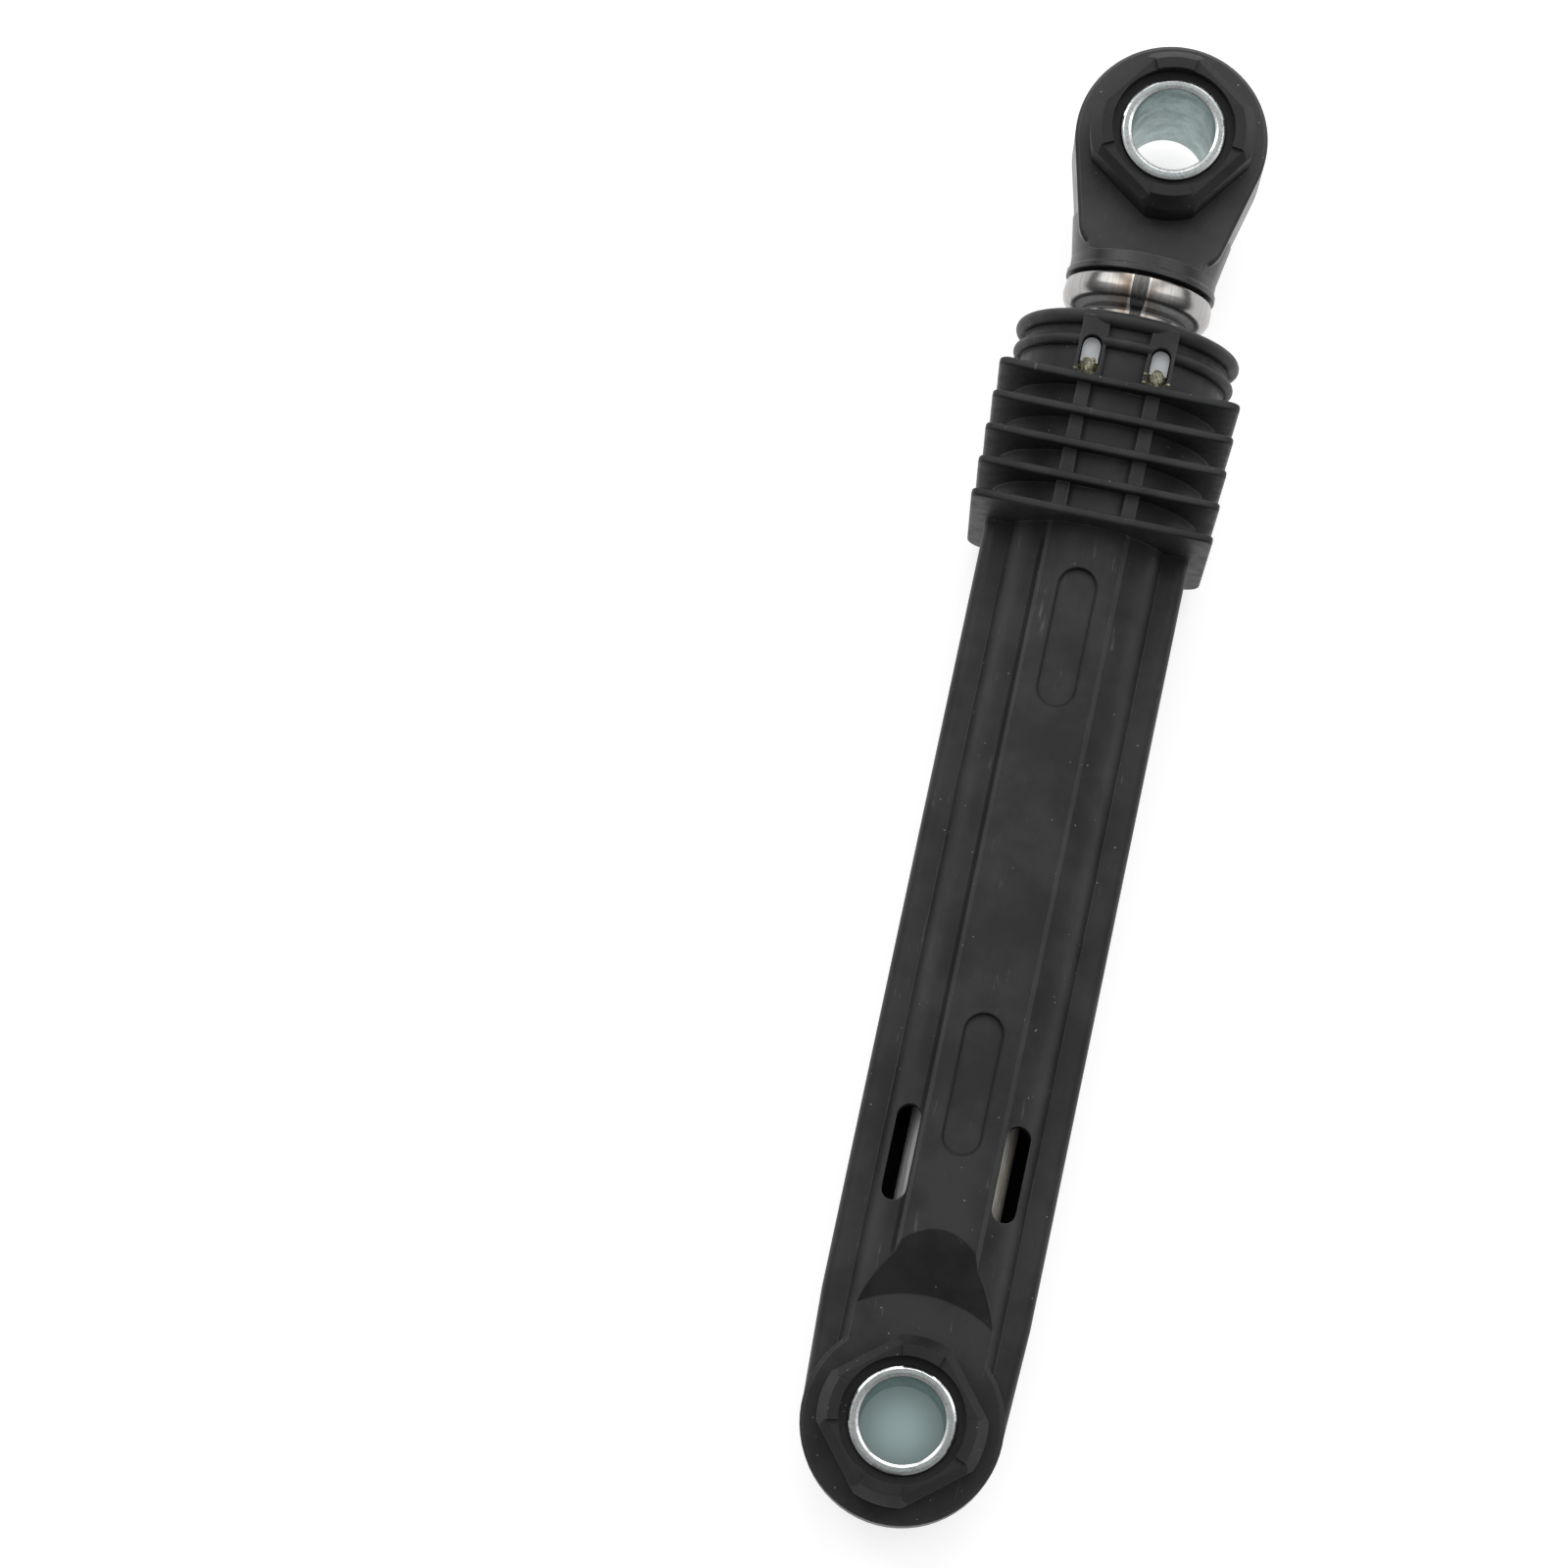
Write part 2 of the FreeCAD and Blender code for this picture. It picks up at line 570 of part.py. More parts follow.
def make_guide_insert():
    """White guide that snaps into the head: two guiding lands, a pocket for the foam and four lugs."""
    body = new_body("guide_insert")
    outside = "(collar_cavity / 2 - insert_clearance)"
    wall = new_sketch(body, "insert_wall", "XZ_Plane", "-1 * " + INSERT_FOOT)
    add_circle(wall, "0", "0", outside)
    pad(body, wall, "%s - %s" % (INSERT_HEAD, INSERT_FOOT), reverse=True)

    lugs = new_sketch(body, "lugs", "XY_Plane")
    for sign in ("-1 * ", ""):
        middle, half = sign + "window_offset", "(window_width / 2 - lug_gap)"
        add_profile(lugs, [
            ("%s - %s" % (middle, half), LUG_FOOT),
            ("%s + %s" % (middle, half), LUG_FOOT),
            (middle, "%s - %s" % (LUG_TOP, half), half, "right", "left"),
        ])
    pad(body, lugs, "2 * lug_face", symmetric=True)

    inside = new_sketch(body, "insert_bore", "XY_Plane")
    land = ROD_RADIUS + " + guide_clearance"
    pocket_wall = "foam_diameter / 2 + foam_clearance"
    low, high = INSERT_FOOT + " + guide_land", INSERT_HEAD + " - guide_land"
    below, above = INSERT_FOOT + " - guide_land", INSERT_HEAD + " + guide_land"
    add_profile(inside, [
        ("0", below), (land, below), (land, low), (pocket_wall, low),
        (pocket_wall, high), (land, high), (land, above), ("0", above),
    ])
    revolve(body, inside, "PartDesign::Groove")

    tongues = new_sketch(body, "tongues", "XY_Plane")
    for sign in ("-1 * ", ""):
        middle = sign + "window_offset"
        inner = "window_width / 2"
        outer = "(window_width / 2 + tongue_slit)"
        low, step, high = WINDOW_FOOT, LUG_FOOT, LUG_TOP + " + tongue_slit"
        add_profile(tongues, [
            ("%s - %s" % (middle, outer), low), ("%s + %s" % (middle, outer), low),
            ("%s + %s" % (middle, outer), high), ("%s + %s" % (middle, inner), high),
            ("%s + %s" % (middle, inner), step), ("%s - %s" % (middle, inner), step),
            ("%s - %s" % (middle, inner), high), ("%s - %s" % (middle, outer), high),
        ])
    pocket(body, tongues, "2 * collar_diameter", symmetric=True)
    return body


def make_friction_foam():
    """Greased foam strip, bent round the rod inside the guide, with an open seam at the back."""
    body = new_body("friction_foam")
    strip = new_sketch(body, "foam_section", "XY_Plane")
    add_rectangle(
        strip,
        ROD_RADIUS + " + foam_clearance", "foam_diameter / 2",
        INSERT_FOOT + " + guide_land + foam_clearance", INSERT_HEAD + " - guide_land - foam_clearance",
    )
    revolve(body, strip)
    seam = new_sketch(body, "foam_seam", "XY_Plane")
    add_rectangle(seam, "-foam_seam / 2", "foam_seam / 2", "cavity_floor", "collar_top")
    pocket(body, seam, "foam_diameter")
    return body


def make_rod_tube():
    """Steel tube of the rod, with a cup rolled on its head for the moulded eye."""
    body = new_body("rod_tube")
    section = new_sketch(body, "rod_section", "XY_Plane")
    end = "(bore_floor + rod_end_gap)"
    mouth = "(eye_distance - bead_drop)"
    base = "(eye_distance - bead_drop - bead_height)"
    overhang = "(bead_diameter - rod_diameter) / 2"
    fillet = "min(neck_round; %s * 0.12)" % overhang
    corner = "min(bead_round; %s * 0.85; bead_height * 0.6)" % overhang
    shoulder = "min(bead_shoulder; bead_height * 0.2)"
    rim = "bead_diameter / 2"
    add_profile(section, [
        (ROD_INSIDE, end),
        (ROD_RADIUS, end),
        ("%s + %s" % (ROD_RADIUS, fillet), "%s - %s" % (base, fillet), fillet, "left", "up"),
        ("%s - %s" % (rim, corner), "%s + %s" % (base, corner), corner, "down", "right"),
        ("%s - %s" % (rim, shoulder), "%s - %s" % (mouth, shoulder), shoulder, "right", "up"),
        (CUP_INSIDE, mouth),
        (CUP_INSIDE, base + " + rod_wall"),
        (ROD_INSIDE, base + " + rod_wall"),
    ])
    revolve(body, section)
    return body


def make_rod_eye():
    """Moulded eye of the rod: a round neck that runs into a flat head, and a plug inside the rod."""
    body = new_body("rod_eye")
    section = new_sketch(body, "neck_section", "XY_Plane")
    cup_floor = "(bead_drop + bead_height - rod_wall - seat_clearance)"
    plug, collar = ROD_INSIDE + " - seat_clearance", CUP_INSIDE + " - seat_clearance"
    foot = "(neck_gap - bead_drop)"
    neck, lip = "neck_diameter / 2", "neck_diameter / 2 + neck_lip"
    add_profile(section, [
        ("0", "-(%s + stem_length)" % cup_floor),
        (plug, "-(%s + stem_length)" % cup_floor),
        (plug, "-" + cup_floor),
        (collar, "-" + cup_floor),
        (collar, foot),
        (lip, foot),
        (lip, foot + " + neck_lip_height"),
        (neck, foot + " + neck_lip_height + neck_lip"),
        (neck, "-neck_drop"),
        ("shoulder_diameter / 2", "-shoulder_drop"),
        ("0", "-shoulder_drop"),
    ])
    revolve(body, section)

    for front in (True, False):
        flat = new_sketch(body, "flat_face", "XY_Plane", EYE_FACE if front else "-" + EYE_FACE)
        side = "shoulder_diameter / 2"
        round_x = "%s - neck_corner" % side
        round_y = "neck_corner - neck_drop"
        add_profile(flat, [
            ("-(%s)" % round_x, round_y, "neck_corner", "left", "down"),
            (round_x, round_y, "neck_corner", "down", "right"),
            (side, "0"),
            ("-" + side, "0"),
        ])
        pocket(body, flat, "shoulder_diameter", reverse=front)

    plate = new_sketch(body, "head_plate", "XY_Plane")
    corner_x = "(neck_diameter / 2 - paddle_corner)"
    corner_y = "(paddle_corner - neck_drop)"
    head = add_arc(plate, "0", "upper_eye_offset", "upper_eye_diameter / 2", -12, 192)
    left = add_arc(plate, "-" + corner_x, corner_y, "paddle_corner", 192, 270)
    right = add_arc(plate, corner_x, corner_y, "paddle_corner", 270, 348)
    spots = {index: (plate.Geometry[index].StartPoint, plate.Geometry[index].EndPoint)
             for index in (head, left, right)}
    chain = [head]
    for this, following in ((head, left), (left, right), (right, head)):
        start, end = spots[this][1], spots[following][0]
        chain += [add_line(plate, (start.x, start.y), (end.x, end.y)), following]
    for this, following in zip(chain, chain[1:]):
        join(plate, "Tangent", (this, 2), (following, 1))
    pad(body, plate, "eye_thickness", symmetric=True)
    dress(body, "PartDesign::Chamfer", "Size", "eye_chamfer", lambda edge: (
        lies_at(abs(edge.CenterOfMass.z), number(EYE_FACE))
        and edge.BoundBox.ZLength < NEAR
        and edge.CenterOfMass.y > -number("shoulder_drop")
        and edge.Length > number("upper_eye_diameter / 4")
    ))

    hole = new_sketch(body, "upper_eye_hole", "XY_Plane")
    add_circle(hole, "0", "0", "eye_hole / 2")
    pocket(body, hole, "2 * sleeve_length", symmetric=True)
    bind(body, "Placement.Base.y", "eye_distance")
    return body


def main():
    bodies = [
        make_housing(),
        make_guide_insert(),
        make_friction_foam(),
        make_rod_tube(),
        make_rod_eye(),
    ]
    for name, place in (("lower", "0"), ("upper", "eye_distance")):
        bodies.append(make_bush(name + "_rubber_bush", place, name + "_bush_turn"))
        bodies.append(make_sleeve(name + "_steel_sleeve", place))
    doc.recompute()

    for item in doc.Objects:
        if "Invalid" in item.State or "Error" in item.State:
            raise ValueError("%s failed: %s" % (item.Name, item.State))
    for body in bodies:
        shape = body.Shape
        if shape.isNull() or not shape.isValid() or len(shape.Solids) != 1:
            raise ValueError(body.Label + " is not one valid solid")
    os.makedirs("parts", exist_ok=True)
    for body in bodies:
        body.Shape.exportStep("parts/%s.step" % body.Label)
        print("%-20s %9.1f mm3" % (body.Label, body.Shape.Volume))


main()
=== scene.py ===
import json
import math

import bmesh
import bpy
from bpy.props import FloatProperty, FloatVectorProperty, PointerProperty
from mathutils import Matrix, Vector, noise
from mathutils.bvhtree import BVHTree


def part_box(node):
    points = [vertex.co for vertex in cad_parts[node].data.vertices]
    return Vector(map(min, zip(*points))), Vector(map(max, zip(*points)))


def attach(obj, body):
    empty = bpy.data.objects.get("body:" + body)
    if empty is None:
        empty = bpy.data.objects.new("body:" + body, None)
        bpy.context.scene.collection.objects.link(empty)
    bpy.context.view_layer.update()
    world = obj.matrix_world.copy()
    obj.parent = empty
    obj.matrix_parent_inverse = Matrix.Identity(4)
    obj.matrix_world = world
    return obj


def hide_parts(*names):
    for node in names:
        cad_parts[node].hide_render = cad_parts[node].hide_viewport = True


bl_info = {
    "name": "Washing machine damper",
    "version": (1, 0, 0),
    "blender": (4, 5, 0),
    "location": "View3D > Sidebar > Damper",
    "description": "Finishes, small moulded details and a plain stage for a friction damper",
    "category": "Object",
}

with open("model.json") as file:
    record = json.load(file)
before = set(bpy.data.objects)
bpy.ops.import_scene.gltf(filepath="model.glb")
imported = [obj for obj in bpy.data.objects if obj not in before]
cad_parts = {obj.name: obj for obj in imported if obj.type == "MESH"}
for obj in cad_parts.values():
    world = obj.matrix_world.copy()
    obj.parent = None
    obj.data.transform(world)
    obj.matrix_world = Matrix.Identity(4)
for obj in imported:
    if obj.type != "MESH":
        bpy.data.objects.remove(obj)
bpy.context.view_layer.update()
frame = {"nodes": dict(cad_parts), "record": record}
MM = 0.001


def colour(name, description, default):
    return FloatVectorProperty(name=name, description=description, default=default, subtype="COLOR",
                               size=3, min=0.0, max=1.0)


def length(name, description, millimetres):
    return FloatProperty(name=name, description=description, default=millimetres * MM, unit="LENGTH",
                         precision=5)


def power(name, description, watts):
    return FloatProperty(name=name, description=description, default=watts, unit="POWER")


class DamperFinishes(bpy.types.PropertyGroup):
    """Colours of the damper's finishes."""

    plastic: colour("Plastic", "Black plastic of the housing and the rod's eye", (0.0262, 0.0264, 0.0277))
    rubber: colour("Rubber", "Black rubber of the bushes", (0.017, 0.017, 0.017))
    dust: colour("Dust", "Specks of dust on the black pieces", (0.45, 0.44, 0.42))
    zinc: colour("Zinc", "Zinc plate on the ends of the sleeves", (0.42, 0.45, 0.45))
    highlight_zinc: colour("Bright zinc", "Zinc plate on the broken edges of the sleeves", (0.86, 0.88, 0.87))
    bore: colour("Bore", "Duller zinc plate inside the sleeves", (0.42, 0.53, 0.52))
    steel: colour("Steel", "Drawn steel of the rod", (0.40, 0.39, 0.38))
    heat_tint: colour("Heat tint", "Brown bloom beside the weld", (0.22, 0.15, 0.10))
    film_and_sheen: colour("Film", "Pale film on the foot of the rod", (0.92, 0.92, 0.91))
    acetal: colour("Acetal", "White plastic of the guide", (0.56, 0.58, 0.60))
    grease: colour("Grease", "Olive grease in the windows", (0.20, 0.19, 0.09))


class DamperSizes(bpy.types.PropertyGroup):
    """Sizes of the pieces that are modelled here."""

    bead_round: length("Bead round", "Lower round of the cup on the rod", 2.5)
    bead_shoulder: length("Bead shoulder", "Upper round of the cup on the rod", 0.7)
    bead_lean: length("Bead lean", "Cup's mouth inside its widest part", 0.2)
    rod_radius: length("Rod radius", "Plain part of the rod", 7.6)
    rod_wall: length("Rod wall", "Wall of the rod", 1.2)
    bead_height: length("Bead height", "Cup from its mouth to its underside", 4.7)
    panel_width: length("Panel width", "Shallow panels on the spine", 5.4)
    panel_length: length("Panel length", "Shallow panels on the spine", 19.8)
    lower_panel: length("Lower panel", "Lower bore to the middle of the lower panel", 46.7)
    upper_panel: length("Upper panel", "Lower bore to the middle of the upper panel", 110.4)
    spine_foot: length("Spine foot", "Tube axis to the line along the left foot of the spine", 6.1)
    weld_width: length("Weld width", "Planed weld along the rod", 2.3)
    sleeve_edge: length("Sleeve edge", "Broken edges of the steel sleeves", 0.45)


class DamperStage(bpy.types.PropertyGroup):
    """Floor, lamps and camera."""

    floor: colour("Floor", "Pale floor", (0.65, 0.65, 0.65))
    top_power: power("Top lamp", "Soft lamp beyond the upper eye", 3.0)
    left_power: power("Left lamp", "Soft lamp at the left", 1.4)
    right_power: power("Right lamp", "Soft lamp at the right", 0.9)
    world_dark: FloatProperty(name="Near side", description="World below the lower eye", default=0.28)
    world_light: FloatProperty(name="Far side", description="World beyond the upper eye", default=0.92)
    lens: FloatProperty(name="Lens", description="Focal length on a 36 mm sensor", default=115.87,
                        unit="CAMERA")


class Recipe:
    """One material, whose nodes are added and wired in a line each."""

    def __init__(self, name):
        self.material = bpy.data.materials.new(name)
        self.material.use_nodes = True
        self.tree = self.material.node_tree
        self.shader = self.tree.nodes["Principled BSDF"]

    def add(self, kind, inputs, output=0, **settings):
        node = self.tree.nodes.new("ShaderNode" + kind)
        for name, value in settings.items():
            setattr(node, name, value)
        for name, value in inputs.items():
            self.feed(node.inputs[name], value)
        return node.outputs[output]

    def feed(self, socket, value):
        if isinstance(value, bpy.types.NodeSocket):
            self.tree.links.new(value, socket)
        else:
            socket.default_value = value

    def surface(self, **values):
        """Sets sockets of the shader, named with underscores for spaces."""
        for name, value in values.items():
            self.feed(self.shader.inputs[name.replace("_", " ")], value)

    def place(self, stretch=(1, 1, 1), shift=(0, 0, 0)):
        spot = self.add("TexCoord", {}, "Object")
        return self.add("Mapping", {"Vector": spot, "Scale": stretch, "Location": shift})

    def noise(self, spot, size, detail=3.0, rough=0.55):
        """Cloudy pattern whose patches are about size metres across."""
        return self.add("TexNoise", {"Vector": spot, "Scale": 1 / size, "Detail": detail, "Roughness": rough})

    def cells(self, spot, size):
        return self.add("TexVoronoi", {"Vector": spot, "Scale": 1 / size}, "Distance")

    def steps(self, value, low, high, to_low=0.0, to_high=1.0):
        """Eases from one value to another between two levels."""
        return self.add("MapRange", {"Value": value, "From Min": low, "From Max": high,
                                     "To Min": to_low, "To Max": to_high}, interpolation_type="SMOOTHSTEP")

    def maths(self, operation, first, second=0.0):
        return self.add("Math", {0: first, 1: second}, operation=operation)

    def times(self, first, second):
        return self.maths("MULTIPLY", first, second)

    def span(self, vector):
        """Length of a vector."""
        return self.add("VectorMath", {0: vector}, "Value", operation="LENGTH")

    def tint(self, factor, first, second):
        """Mixes two colours."""
        return self.add("Mix", {0: factor, 6: (*first, 1.0) if isinstance(first, tuple) else first,
                                7: (*second, 1.0) if isinstance(second, tuple) else second},
                        output=2, data_type="RGBA")

    def axis(self, spot, letter):
        return self.add("SeparateXYZ", {"Vector": spot}, letter)

    def specks(self, spot, size, radius):
        """Sparse round specks, scattered one to a few cells of the given size."""
        dots = self.steps(self.cells(spot, size), radius / size, 0.6 * radius / size)
        return self.times(dots, self.steps(self.noise(spot, 4 * size, 1.0), 0.48, 0.58))

    def worn_and_highlit_edges(self, radius):
        """Gives rounded normals along the edges and a mask that marks those edges."""
        rounded = self.add("Bevel", {"Radius": radius}, samples=4)
        face = self.add("NewGeometry", {}, "Normal")
        turn = self.add("VectorMath", {0: rounded, 1: face}, "Value", operation="DOT_PRODUCT")
        return rounded, self.steps(turn, 0.97, 0.8)

    def relief(self, height, strength, depth, under=None):
        inputs = {"Height": height, "Strength": strength, "Distance": depth}
        if under:
            inputs["Normal"] = under
        return self.add("Bump", inputs)


def finishes(context):
    return context.scene.damper_finishes


def toned(base, factor):
    """A colour made lighter or darker."""
    return tuple(part * factor for part in base)


def moulded_plastic(name, look, grain, gloss, shine, draw_lines):
    """Black moulding: fine grain, faint flow marks, dark lines from draw_lines (painted shade on the housing,
    a gate ring on the eye), edges painted lighter as wear and as painted highlight, scuffs and a little dust.
    """
    recipe = Recipe(name)
    base, dust = tuple(look.plastic), tuple(look.dust)
    spot = recipe.place()
    cloud = recipe.noise(spot, 9 * MM, 4.0)
    fine = recipe.noise(spot, grain, 2.0)
    flow = recipe.noise(recipe.place(stretch=(1.0, 0.16, 1.0)), 2.2 * MM, 3.0)
    scratch = recipe.noise(recipe.place(stretch=(1.0, 0.12, 1.0), shift=(0.3, 0.1, 0.2)), 0.7 * MM, 2.0)
    worn = recipe.times(recipe.steps(scratch, 0.66, 0.73), recipe.steps(cloud, 0.46, 0.62))
    rounded, edges = recipe.worn_and_highlit_edges(0.28 * MM)
    lines = draw_lines(recipe, spot)
    body = recipe.tint(recipe.steps(cloud, 0.35, 0.65), base, toned(base, 1.6))
    # Painted highlight, partly real wear: the edges are painted much lighter, up to seven times the base
    # colour.
    worn_and_highlit = recipe.times(edges, recipe.steps(flow, 0.3, 0.7, 0.2, 0.9))
    body = recipe.tint(worn_and_highlit, body, toned(base, 7))
    body = recipe.tint(recipe.times(worn, 0.14), body, dust)
    specks = recipe.specks(spot, 1.7 * MM, 0.13 * MM)
    body = recipe.tint(recipe.times(specks, 0.6), body, dust)
    # Painted shade on the housing: the lines round the panels and along the spine's foot are painted dark; on
    # the eye the same darkening draws the gate ring.
    body = recipe.tint(recipe.times(lines, 0.6), body, toned(base, 0.25))
    ground = recipe.relief(flow, 0.07, 0.1 * MM, rounded)
    polish = recipe.steps(flow, 0.25, 0.9, gloss, gloss + 0.16)
    recipe.surface(
        Base_Color=body,
        Roughness=recipe.maths("ADD", polish, recipe.times(lines, 0.35)),
        Specular_IOR_Level=shine,
        Normal=recipe.relief(fine, 0.3, 0.05 * MM, ground),
    )
    return recipe.material


def bush_rubber(base, dust):
    """Dull black rubber with a faint bloom and specks."""
    recipe = Recipe("bush_rubber")
    spot = recipe.place()
    cloud = recipe.noise(spot, 4 * MM, 4.0)
    fine = recipe.noise(spot, 0.18 * MM, 3.0)
    rounded, edges = recipe.worn_and_highlit_edges(0.2 * MM)
    body = recipe.tint(recipe.steps(cloud, 0.35, 0.75), base, toned(base, 1.7))
    # Painted highlight, partly real wear: the edges are painted lighter, four times the base colour.
    body = recipe.tint(recipe.times(edges, 0.25), body, toned(base, 4))
    specks = recipe.specks(spot, 1.2 * MM, 0.11 * MM)
    body = recipe.tint(recipe.times(specks, 0.5), body, dust)
    recipe.surface(
        Base_Color=body,
        Roughness=recipe.steps(cloud, 0.3, 0.8, 0.5, 0.68),
        Specular_IOR_Level=0.28,
        Normal=recipe.relief(fine, 0.4, 0.05 * MM, rounded),
    )
    return recipe.material


def zinc_plate(name, base, dull):
    """Zinc over turned steel: fine rings round the bore, speckles and a little cloudiness."""
    recipe = Recipe(name)
    spot = recipe.place()
    cloud = recipe.noise(spot, 3 * MM, 3.0)
    rings = recipe.noise(recipe.place(stretch=(0.05, 0.05, 1.0)), 0.12 * MM, 2.0)
    speckle = recipe.noise(spot, 0.3 * MM, 2.0)
    body = recipe.tint(recipe.steps(cloud, 0.3, 0.7), base, toned(base, 0.85))
    body = recipe.tint(recipe.steps(speckle, 0.5, 0.68, 0.0, 0.7), body, toned(base, 0.55))
    pits = recipe.relief(speckle, 0.2, 0.03 * MM)
    recipe.surface(
        Base_Color=body,
        Metallic=1.0,
        Roughness=recipe.steps(cloud, 0.25, 0.75, dull, dull + 0.12),
        Normal=recipe.relief(rings, 0.1, 0.02 * MM, pits),
    )
    return recipe.material


def drawn_steel(look):
    """Drawn tube: grey, with a brown bloom beside the weld, a painted highlight along the weld's borders, and
    a pale film on its foot that is partly a film of grease and partly a painted reflection, bright where the
    steel shows through the slots.
    """
    recipe = Recipe("drawn_steel")
    base = tuple(look.steel)
    spot = recipe.place()
    across, along, front = (recipe.axis(spot, letter) for letter in "XYZ")
    streaks = recipe.noise(recipe.place(stretch=(1.0, 0.03, 1.0)), 0.5 * MM, 3.0)
    clouds = recipe.noise(recipe.place(stretch=(1.0, 0.5, 1.0)), 1.6 * MM, 3.0)
    ahead = recipe.steps(front, 0.0, 3 * MM)
    beside = recipe.times(recipe.steps(across, -5.5 * MM, -1.4 * MM), recipe.steps(across, 4 * MM, 0.5 * MM))
    bloom = recipe.times(recipe.times(beside, ahead), recipe.steps(clouds, 0.3, 0.6, 0.4, 1.0))
    from_weld = recipe.maths("ABSOLUTE", across)
    # Painted highlight along both borders of the planed weld, on the front.
    weld_edge_highlight = recipe.times(recipe.steps(from_weld, 1.6 * MM, 1.2 * MM), ahead)
    # Painted reflection, partly a real grease film: the rod's foot is painted pale, nearly white, so the
    # steel seen through the slots shows bright.
    film_and_sheen = recipe.steps(along, 72 * MM, 52 * MM)
    right = recipe.steps(across, 0.0, 6 * MM)
    oily = recipe.times(right, recipe.steps(clouds, 0.35, 0.6, 0.3, 0.9))
    body = recipe.tint(recipe.steps(streaks, 0.3, 0.7), base, toned(base, 0.8))
    body = recipe.tint(recipe.times(bloom, 0.8), body, tuple(look.heat_tint))
    body = recipe.tint(recipe.times(weld_edge_highlight, 0.6), body, toned(base, 1.9))
    oil, smear = (0.66, 0.62, 0.48), (0.36, 0.34, 0.31)
    pale = recipe.tint(oily, tuple(look.film_and_sheen), oil)
    pale = recipe.tint(recipe.steps(streaks, 0.48, 0.6, 0.0, 0.5), pale, smear)
    recipe.surface(
        Base_Color=recipe.tint(film_and_sheen, body, pale),
        Metallic=recipe.steps(film_and_sheen, 0.0, 1.0, 1.0, 0.1),
        Roughness=recipe.steps(film_and_sheen, 0.0, 1.0, 0.22, 0.45),
        Normal=recipe.relief(streaks, 0.05, 0.02 * MM),
    )
    return recipe.material


def planed_weld(base):
    """Weld planed flat along the rod: dark steel with lengthwise marks."""
    recipe = Recipe("planed_weld")
    marks = recipe.noise(recipe.place(stretch=(1.0, 0.03, 1.0)), 0.3 * MM, 2.0)
    body = recipe.tint(recipe.steps(marks, 0.35, 0.65), toned(base, 0.2), toned(base, 0.36))
    recipe.surface(
        Base_Color=body,
        Metallic=1.0,
        Roughness=recipe.steps(marks, 0.3, 0.7, 0.3, 0.42),
        Normal=recipe.relief(marks, 0.06, 0.02 * MM),
    )
    return recipe.material


def olive_grease(base):
    """Thick grease: olive, wet and full of dark and pale grains."""
    recipe = Recipe("olive_grease")
    spot = recipe.place()
    cloud = recipe.noise(spot, 0.7 * MM, 4.0)
    grains = recipe.noise(spot, 0.26 * MM, 2.0)
    body = recipe.tint(recipe.steps(cloud, 0.35, 0.62), toned(base, 0.45), base)
    dark_grain, pale_grain = (0.03, 0.028, 0.02), (0.52, 0.50, 0.40)
    body = recipe.tint(recipe.steps(grains, 0.46, 0.36), body, dark_grain)
    body = recipe.tint(recipe.steps(grains, 0.58, 0.66), body, pale_grain)
    recipe.surface(
        Base_Color=body,
        Roughness=recipe.steps(cloud, 0.3, 0.7, 0.2, 0.4),
        Coat_Weight=0.4,
        Normal=recipe.relief(grains, 0.8, 0.15 * MM),
    )
    return recipe.material


def white_acetal(base):
    """White plastic of the guide, a little cloudy."""
    recipe = Recipe("white_acetal")
    spot = recipe.place()
    cloud = recipe.noise(spot, 2 * MM, 3.0)
    body = recipe.tint(recipe.steps(cloud, 0.3, 0.7), base, toned(base, 0.88))
    fine = recipe.noise(spot, 0.2 * MM)
    recipe.surface(
        Base_Color=body,
        Roughness=recipe.steps(cloud, 0.3, 0.7, 0.3, 0.45),
        Normal=recipe.relief(fine, 0.1, 0.03 * MM),
    )
    return recipe.material


def greased_foam(base):
    """Open foam, soaked with grease."""
    recipe = Recipe("greased_foam")
    spot = recipe.place()
    pores = recipe.cells(spot, 0.5 * MM)
    cloud = recipe.noise(spot, 1.5 * MM, 4.0)
    body = recipe.tint(recipe.steps(cloud, 0.3, 0.7), base, toned(base, 0.45))
    recipe.surface(
        Base_Color=body,
        Roughness=recipe.steps(cloud, 0.3, 0.7, 0.25, 0.5),
        Normal=recipe.relief(pores, 0.6, 0.2 * MM),
    )
    return recipe.material


def dress_node(node, material):
    """Gives a CAD node one finish."""
    slots = frame["nodes"][node].data.materials
    slots.clear()
    slots.append(material)


def new_piece(name, shape, materials, body, stands_for=None):
    """Makes a finished bmesh a piece that rides on one of the damper's bodies."""
    mesh = bpy.data.meshes.new(name)
    shape.to_mesh(mesh)
    shape.free()
    for material in materials:
        mesh.materials.append(material)
    piece = bpy.data.objects.new(name, mesh)
    bpy.context.scene.collection.objects.link(piece)
    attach(piece, body)
    if stands_for:
        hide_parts(stands_for)


def add_outline(shape, corners, turn):
    """Lays a closed outline of corners (across, along, round) and turns it into place."""
    verts = [shape.verts.new((across, along, 0)) for across, along, round_size in corners]
    for this, following in zip(verts, verts[1:] + verts[:1]):
        shape.edges.new((this, following))
    for vert, (across, along, round_size) in zip(verts, corners):
        if round_size:
            bmesh.ops.bevel(shape, geom=[vert], offset=round_size, offset_type="OFFSET", affect="VERTICES",
                            segments=8, profile=0.5, material=-1)
    bmesh.ops.transform(shape, matrix=turn, verts=shape.verts)


def close_shell(shape, sharp=math.radians(32)):
    """Merges seams, points every face outwards and shades all but the crisp edges smooth."""
    bmesh.ops.remove_doubles(shape, verts=shape.verts, dist=0.002 * MM)
    bmesh.ops.recalc_face_normals(shape, faces=shape.faces)
    for face in shape.faces:
        face.smooth = True
    for edge in shape.edges:
        if edge.calc_face_angle(0.0) > sharp:
            edge.smooth = False


